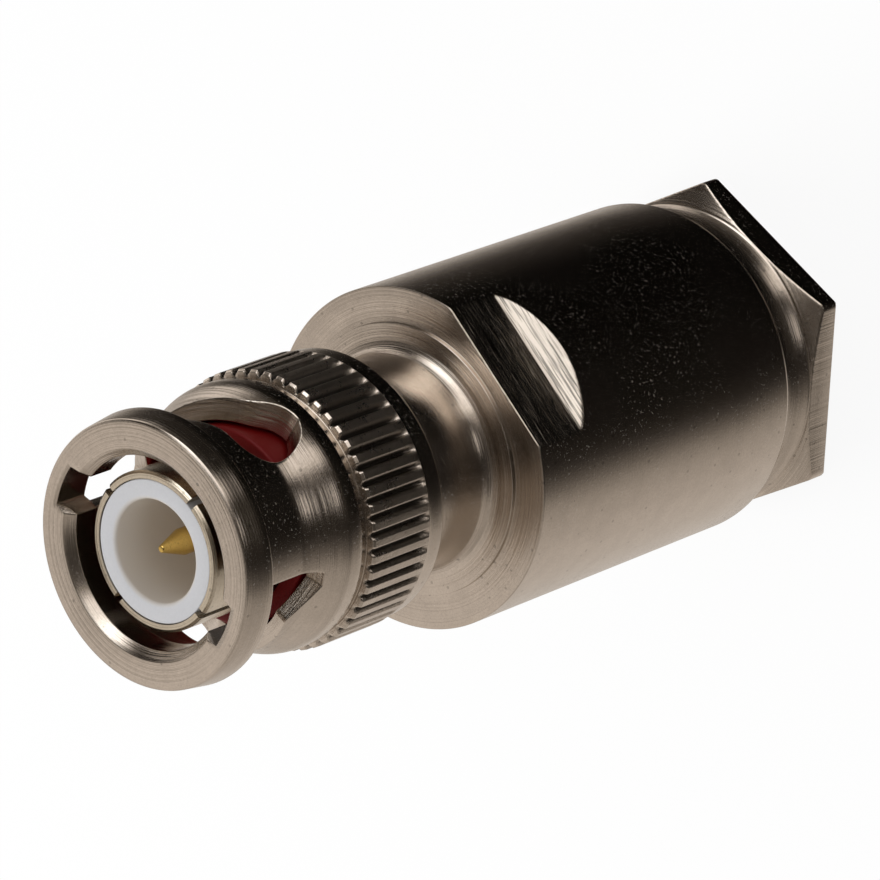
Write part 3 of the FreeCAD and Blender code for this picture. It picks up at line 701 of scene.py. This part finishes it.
def pierce(points, faces, columns, outer_rows, inner_rows, places, wall, rounding):
    """Cut a wall's openings out of a turned grid: drop the cells inside, then round and close the edges.

    places gives each outer point's radius, angle and depth, and the inner ones follow the same angles."""
    inner_of = dict(zip(outer_rows, inner_rows))
    row_after = dict(zip(outer_rows, outer_rows[1:]))
    dropped = cells_inside(wall, places, columns, outer_rows, rounding)
    edges = open_edges(dropped, columns, outer_rows)
    gone = dropped | {(inner_of[row_after[row]], column) for row, column in dropped}
    kept = [face for face in faces if divmod(face[0], columns) not in gone]
    chains = {}
    for corner in {corner for edge in edges for corner in edge}:
        row, column = corner
        radius, angle, depth, slope = settled(wall, places[row][column], rounding)
        outer, inner = row * columns + column, inner_of[row] * columns + column
        inner_radius = math.hypot(*points[inner][:2]) / MM
        points[outer] = at(radius, angle, depth)
        points[inner] = at(inner_radius, angle, depth)
        chain = [outer]
        for step, outside in ((1, True), (2, True), (3, True), (3, False), (2, False), (1, False)):
            lean = math.radians(30 * step)
            inward, drop = rounding * math.sin(lean), rounding * (1 - math.cos(lean))
            level = radius - drop if outside else inner_radius + min(drop, (radius - inner_radius) / 2.2)
            chain.append(len(points))
            points.append(at(level, angle - slope.x * inward / radius, depth - slope.y * inward))
        chains[corner] = [*chain, inner]
    for one, two in edges:
        first, second = chains[one], chains[two]
        for index in range(len(first) - 1):
            kept.append((first[index], first[index + 1], second[index + 1], second[index]))
    return points, kept


def at(radius, angle, depth):
    """A point in metres from its radius, its angle and its depth behind the coupling ring's front."""
    return (radius * math.cos(angle) * MM, radius * math.sin(angle) * MM, (RING_FRONT - depth) * MM)


class CABLEPLUG_OT_coupling_ring(bpy.types.Operator):
    """Make the coupling ring with its bayonet slots, lug entries and knurl"""

    bl_idname = "cableplug.coupling_ring"
    bl_label = "Make the Coupling Ring"

    def execute(self, context):
        sizes = context.scene.plug_sizes
        bore, mouth, neck, shoulder, knurl_radius = 4.95, 5.4, 6.1, 6.98, 7.25
        slot_bore, mouth_length, mouth_bevel = 5.35, 1.9, 0.45
        flange_front, flange_rear, flange_thickness = 6.85, 7.08, 1.72
        groove_radius, groove_front, groove_rear, rim = 6.75, 8.3, 8.85, 7.12
        cavity, cavity_front, cavity_rear, lip_bore, rear_bevel = 5.7, 8.0, 13.25, 5.16, 0.45
        flare_start, flare_end = 4.8, 7.6
        zone_front, zone_rear, zone_steps = 1.95, 7.5, 46
        entry_radius, half_entry, entry_reach = 5.95, 1.2, 0.45
        knurl_start, knurl_end, run_out_length, groove_share = 9.15, 13.06, 0.3, 0.262
        knurl_floor, opening_rounding = 6.9, 0.07
        count = sizes.knurl_count
        length_of_ring = RING_FRONT - RING_REAR

        def wall_radius(depth):
            share = min(max((depth - flare_start) / (flare_end - flare_start), 0.0), 1.0)
            return neck + (shoulder - neck) * share * share * (3 - 2 * share)

        wall = RingWall(sizes, wall_radius)
        front_corners = [(slot_bore, zone_front, 0), (slot_bore, mouth_length, 0.02), (bore, mouth_length, 0.05),
                         (bore, mouth_bevel, 0.1), (mouth, 0.0, 0.1), (entry_radius, 0.0, 0),
                         (flange_front, 0.0, 0.18), (flange_rear, flange_thickness, 0.12),
                         (neck, flange_thickness, 0.1), (neck, zone_front, 0)]
        rear_corners = [(wall_radius(zone_rear), zone_rear, 0), (shoulder, flare_end, 0.05),
                        (shoulder, groove_front, 0.06), (groove_radius, groove_front, 0.06),
                        (groove_radius, groove_rear, 0.03), (knurl_radius - 0.12, groove_rear + 0.02, 0.03),
                        (knurl_radius, knurl_start - 0.15, 0.04),
                        (knurl_radius, knurl_start + run_out_length, 0),
                        (knurl_radius, knurl_end - run_out_length, 0),
                        (knurl_radius, knurl_end, 0.04), (rim, knurl_end, 0.03),
                        (rim, length_of_ring - rear_bevel, 0.2), (rim - rear_bevel, length_of_ring, 0.15),
                        (lip_bore, length_of_ring, 0.08), (lip_bore, cavity_rear, 0.05),
                        (cavity, cavity_rear, 0.05), (cavity, cavity_front, 0.05),
                        (slot_bore, cavity_front, 0.05), (slot_bore, zone_rear, 0)]
        zone = [zone_front + (zone_rear - zone_front) * step / zone_steps for step in range(zone_steps + 1)]
        rows = filled(rounded(front_corners), 0.6)[:-1]
        outer_first = len(rows)
        rows += [(wall_radius(depth), depth) for depth in zone]
        rows += filled(rounded(rear_corners), 0.5)[1:-1]
        inner_first = len(rows)
        rows += [(slot_bore, depth) for depth in reversed(zone)][:-1]
        pitch = TAU / count
        shares = (0.0, 0.13, groove_share, 0.335, 0.5, 0.665, 1 - groove_share, 0.87)
        angles = [pitch * (tooth + share) for tooth in range(count) for share in shares]
        columns = len(angles)
        wall_angle = math.asin(half_entry / mouth)

        def shape(radius, depth, angle):
            off = off_nearest(angle, wall.entry, 2)
            if radius < entry_radius and depth <= zone_front + 1e-6 and abs(off) < entry_reach:
                edge = math.asin(half_entry / radius)
                floor_edge = math.asin(half_entry / entry_radius)
                if abs(off) < wall_angle:
                    inside = max(abs(one) for one in entry_offsets if abs(one) < wall_angle)
                    return entry_radius, angle + off * (floor_edge / inside - 1), depth
                outside = min(abs(one) for one in entry_offsets if abs(one) >= wall_angle)
                moved = edge + (abs(off) - outside) * (entry_reach - edge) / (entry_reach - outside)
                return radius, angle + math.copysign(moved - abs(off), off), depth
            if knurl_start - 0.4 < depth < knurl_end + 0.01 and radius > knurl_floor:
                from_middle = abs(off_nearest(angle, 0.0, count)) / (pitch * groove_share)
                run_out = min(1.0, (knurl_end - depth) / run_out_length)
                deep = sizes.knurl_depth * max(0.0, 1 - from_middle ** 1.4) * run_out
                radius = min(radius, knurl_radius - deep)
            return radius, angle, depth

        entry_offsets = [off_nearest(angle, wall.entry, 2) for angle in angles]
        places = [[shape(radius, depth, angle) for angle in angles] for radius, depth in rows]
        points = [at(*place) for row in places for place in row]
        faces = grid_faces(len(rows), columns)
        outer_rows = list(range(outer_first, outer_first + zone_steps + 1))
        inner_rows = [0, *range(len(rows) - 1, inner_first - 1, -1)]
        points, faces = pierce(points, faces, columns, outer_rows, inner_rows, places, wall, opening_rounding)
        piece = finish_piece("coupling_ring", points, faces, "nickel", RING_BODY)
        knurl_heights = (RING_FRONT - knurl_end, RING_FRONT - knurl_start + 0.15)
        give_second_finish(piece, "knurled_nickel", knurl_heights, (knurl_radius - 0.45, knurl_radius))
        return {"FINISHED"}


class CABLEPLUG_OT_mating_end(bpy.types.Operator):
    """Make the pieces inside the coupling ring: insulator, contact and seal"""

    bl_idname = "cableplug.mating_end"
    bl_label = "Make the Mating End"

    def execute(self, context):
        outer, recess, shank_hole, pin_hole, web = 3.66, 2.63, 1.14, 0.715, 0.5
        floor = INSULATOR_FRONT - 5.4
        turned_piece("front_insulator", [
            (shank_hole, SLEEVE_REAR, 0.03), (outer, SLEEVE_REAR, 0.08), (outer, INSULATOR_FRONT, 0.06),
            (recess, INSULATOR_FRONT, 0.22), (recess, floor, 0.5), (pin_hole, floor, 0.04),
            (pin_hole, floor - web, 0.02), (shank_hole, floor - web, 0.02)], "white_insulator")
        pot_bore, pot, shank, pin, tip = 1.2, 1.85, 1.1, 0.675, 0.17
        pot_rear, pot_front, pot_floor = SLEEVE_REAR - 8.6, SLEEVE_REAR - 0.05, SLEEVE_REAR - 3.1
        shank_front, point_rear = floor - 0.55, PIN_FRONT - 1.5
        turned_piece("centre_contact", [
            (0.0, pot_floor, 0), (pot_bore, pot_floor, 0.05), (pot_bore, pot_rear, 0.08), (pot, pot_rear, 0.08),
            (pot, pot_front, 0.1), (shank, pot_front, 0.05), (shank, shank_front, 0.05), (pin, shank_front, 0.05),
            (pin, point_rear, 0.25), (tip, PIN_FRONT, 0.1), (0.0, PIN_FRONT, 0)], "gilt", columns=96)
        inner, thick = 4.15, 1.0
        turned_piece("front_gasket", [
            (inner, GASKET_REAR, 0.06), (inner + thick, GASKET_REAR, 0.1), (inner + thick, GASKET_FRONT, 0.2),
            (inner, GASKET_FRONT, 0.1)], "red_seal")
        return {"FINISHED"}


class CABLEPLUG_OT_wave_washers(bpy.types.Operator):
    """Make the two spring washers in their wavy rest shape; the real ones flatten as the coupling ring is pushed
    forward
    """

    bl_idname = "cableplug.wave_washers"
    bl_label = "Make the Wave Washers"

    def execute(self, context):
        thick, waves, flattened = 0.2, 3, 0.37
        inner, outer = 5.16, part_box("wave_washer_rear")[1].x / MM
        for node, phase in (("wave_washer_rear", 0.0), ("wave_washer_front", math.pi)):
            low, high = heights(node)
            middle, swing = (low + high) / 2, (high - low - thick) / 2

            def shape(radius, height, angle):
                return radius, angle, height + swing * math.cos(waves * angle + phase)

            piece = turned_piece(node, [
                (inner, middle - thick / 2, 0.04), (outer, middle - thick / 2, 0.04),
                (outer, middle + thick / 2, 0.04), (inner, middle + thick / 2, 0.04)],
                "spring_steel", shape=shape)
            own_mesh(piece)
        return {"FINISHED"}


class CABLEPLUG_OT_inner_pieces(bpy.types.Operator):
    """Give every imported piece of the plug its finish"""

    bl_idname = "cableplug.inner_pieces"
    bl_label = "Finish the Packed Pieces"

    def execute(self, context):
        finish = context.scene.plug_finish
        nickel = plated_metal("nickel", tuple(finish.nickel))
        sleeve = plated_metal("sleeve_nickel", tuple(finish.sleeve_nickel))
        # The milled flats take the whiter milled colour, which is in part a painted highlight.
        milled_metal("milled_nickel", tuple(finish.milled))
        # The knurled finish darkens inside 7.14 mm from the axis: painted shade in the knurl's grooves.
        plated_metal("knurled_nickel", tuple(finish.nickel), roughness=0.26, grooves=0.3, ragged=1.4, painted_shade_radius=7.14)
        gilt = plated_metal("gilt", tuple(finish.gilt), roughness=0.22)
        steel = plated_metal("spring_steel", tuple(finish.steel), roughness=0.3)
        # The insulator's recess gets a painted shade colour from radius 2.86 mm inward.
        white = plain_dielectric("white_insulator", tuple(finish.white), roughness=0.42, bumps=0.25, scatter=0.15,
                                 recess=(2.86, tuple(finish.recess)))
        red = plain_dielectric("red_seal", tuple(finish.red), roughness=0.4, bumps=0.6, gloss=0.2)
        black = plain_dielectric("black_rubber", tuple(finish.black), roughness=0.6, bumps=0.8)
        for node, material in {
            "clamp_nut": nickel, "plug_body": nickel, "coupling_ring": nickel, "clamp_washer": nickel,
            "braid_clamp": nickel, "contact_sleeve": sleeve, "centre_contact": gilt,
            "rear_insulator": white, "front_insulator": white, "front_gasket": red, "cable_gasket": black,
            "snap_ring": steel, "wave_washer_rear": steel, "wave_washer_front": steel, "thrust_washer": steel,
        }.items():
            dress(node, material)
        return {"FINISHED"}


def add_mesh(name, points, faces):
    mesh = bpy.data.meshes.new(name)
    mesh.from_pydata(points, [], faces)
    piece = bpy.data.objects.new(name, mesh)
    bpy.context.scene.collection.objects.link(piece)
    return piece


def light_path_mask(start):
    """One for camera, glossy and transmission rays, which see the background as white."""
    path = start.tree.nodes.new("ShaderNodeLightPath")
    rays = [SocketMaths(start.tree, path.outputs[name])
            for name in ("Is Camera Ray", "Is Glossy Ray", "Is Transmission Ray")]
    return (rays[0] + rays[1] + rays[2]).clamped()


def make_camera():
    """The camera at the photograph's place and angle."""
    data = bpy.data.cameras.new("camera")
    data.lens = CAMERA_LENS
    data.sensor_width = SENSOR_WIDTH
    data.clip_start = 0.01
    data.clip_end = 10.0
    camera = bpy.data.objects.new("camera", data)
    right, up = Vector(CAMERA_RIGHT), Vector(CAMERA_UP)
    back = right.cross(up)
    turn = Matrix((right, up, back)).transposed().to_4x4()
    camera.matrix_world = Matrix.Translation(CAMERA_PLACE) @ turn
    bpy.context.scene.collection.objects.link(camera)
    bpy.context.scene.camera = camera


def make_world(ambient):
    """A plain world, white where it is seen."""
    world = bpy.data.worlds.new("world")
    bpy.context.scene.world = world
    world.use_nodes = True
    tree = world.node_tree
    tree.nodes.clear()
    start = SocketMaths(tree, None)
    mask = light_path_mask(start)
    strength = mask * (1.0 - ambient) + ambient
    output = tree.nodes.new("ShaderNodeOutputWorld")
    light = start.node("ShaderNodeBackground", Color=(1.0, 1.0, 1.0, 1.0), Strength=strength)
    tree.links.new(light.socket, output.inputs["Surface"])


def make_floor(size, shade):
    """A pale floor that keeps the shadow."""
    half = size / 2
    glow_level, glow_share = 1.025, 0.88
    floor = add_mesh("floor", [(-half, -half, 0), (half, -half, 0), (half, half, 0), (-half, half, 0)],
                     [(0, 1, 2, 3)])
    material, shader, start = new_material("floor")
    feed(shader, start, Base_Color=shade, Roughness=0.9, Specular_IOR_Level=0.0)
    tree = start.tree
    glow = start.node("ShaderNodeEmission", Color=(1.0, 1.0, 1.0, 1.0), Strength=glow_level)
    mix = tree.nodes.new("ShaderNodeMixShader")
    tree.links.new((light_path_mask(start) * glow_share).socket, mix.inputs[0])
    tree.links.new(shader.outputs[0], mix.inputs[1])
    tree.links.new(glow.socket, mix.inputs[2])
    output = next(node for node in tree.nodes if node.type == "OUTPUT_MATERIAL")
    tree.links.new(mix.outputs[0], output.inputs["Surface"])
    floor.data.materials.append(material)
    floor.visible_glossy = False


def grey(level, warmth):
    """A grey of a level, with more red and less blue by the share that the warmth gives."""
    return (level * (1 + warmth), level, level * (1 - warmth), 1.0)


def ramp_stops(levels, warmth):
    """Stops of a ramp that runs once round the axis, from azimuths in degrees and their levels.

    The dimmer a wall is, the warmer it is."""
    return [(azimuth / 360 + 0.5, grey(level, warmth * max(0.0, 1 - level / 2))) for azimuth, level in levels]


def make_reflections():
    """A studio surround that only shows in reflections: dark and pale walls below, soft light above."""
    reach, middle = 0.5, 0.02
    around, upward = 48, 24
    points = []
    for ring in range(upward + 1):
        level = math.pi * (ring / upward - 0.5)
        for step in range(around):
            turn = TAU * step / around
            points.append((reach * math.cos(level) * math.cos(turn), reach * math.cos(level) * math.sin(turn),
                           middle + reach * math.sin(level)))
    surround = add_mesh("reflection_surround", points, grid_faces(upward + 1, around, closed=False))
    material, shader, start = new_material("reflection_surround")
    place = place_in_mm(start)
    share = place.x.maths("ARCTAN2", place.y, place.x) / TAU + 0.5
    rise = (place.z - middle / MM) / (reach / MM)
    glow = None
    for begin, full, walls in REFLECTION_BANDS:
        band = start.node("ShaderNodeValToRGB", {"stops": ramp_stops(walls, REFLECTION_WARMTH)}, _0=share)
        begin, full = math.sin(math.radians(begin)), math.sin(math.radians(full))
        glow = blend(start, ((rise - begin) / (full - begin)).clamped(), glow, band) if glow else band
    feed(shader, start, Base_Color=(0.0, 0.0, 0.0, 1.0), Roughness=1.0, Specular_IOR_Level=0.0,
         Emission_Color=glow, Emission_Strength=1.0)
    material.cycles.emission_sampling = "NONE"
    surround.data.materials.append(material)
    surround.visible_camera = False
    surround.visible_diffuse = False
    surround.visible_shadow = False
    surround.visible_transmission = False


def make_lamp(name, place, target, size, power):
    """A round soft lamp that is left out of the plating's reflections."""
    data = bpy.data.lights.new(name, "AREA")
    data.shape = "DISK"
    data.size = size
    data.energy = power
    lamp = bpy.data.objects.new(name, data)
    lamp.visible_glossy = False
    aim = Vector(target) - Vector(place)
    lamp.matrix_world = Matrix.Translation(place) @ aim.to_track_quat("-Z", "Y").to_matrix().to_4x4()
    bpy.context.scene.collection.objects.link(lamp)


class CABLEPLUG_OT_stage(bpy.types.Operator):
    """Make the floor, the light, the background and the camera"""

    bl_idname = "cableplug.stage"
    bl_label = "Make the Stage"

    def execute(self, context):
        stage = context.scene.plug_stage
        make_camera()
        make_world(stage.ambient)
        make_floor(stage.floor_size, tuple(stage.floor))
        make_reflections()
        middle = (CAD_LOW + CAD_HIGH) / 2
        make_lamp("key", place=(-0.25, 0.08, 0.40), target=middle, size=0.20, power=stage.key_power)
        context.scene.view_settings.view_transform = "Standard"
        return {"FINISHED"}


class CABLEPLUG_PT_panel(bpy.types.Panel):
    """Lists the steps that build the plug"""

    bl_label = "Cable Plug"
    bl_idname = "CABLEPLUG_PT_panel"
    bl_space_type = "VIEW_3D"
    bl_region_type = "UI"
    bl_category = "Cable Plug"

    def draw(self, context):
        for step in STEPS:
            self.layout.operator(step.bl_idname)


STEPS = (
    CABLEPLUG_OT_inner_pieces,
    CABLEPLUG_OT_clamp_nut,
    CABLEPLUG_OT_plug_body,
    CABLEPLUG_OT_coupling_ring,
    CABLEPLUG_OT_mating_end,
    CABLEPLUG_OT_wave_washers,
    CABLEPLUG_OT_stage,
)
CLASSES = (PlugSizes, PlugFinish, PlugStage, *STEPS, CABLEPLUG_PT_panel)


def register():
    for item in CLASSES:
        bpy.utils.register_class(item)
    bpy.types.Scene.plug_sizes = PointerProperty(type=PlugSizes)
    bpy.types.Scene.plug_finish = PointerProperty(type=PlugFinish)
    bpy.types.Scene.plug_stage = PointerProperty(type=PlugStage)


def unregister():
    del bpy.types.Scene.plug_stage
    del bpy.types.Scene.plug_finish
    del bpy.types.Scene.plug_sizes
    for item in reversed(CLASSES):
        bpy.utils.unregister_class(item)


def main():
    register()
    for step in STEPS:
        group, name = step.bl_idname.split(".")
        getattr(getattr(bpy.ops, group), name)()


if __name__ == "__main__":
    main()
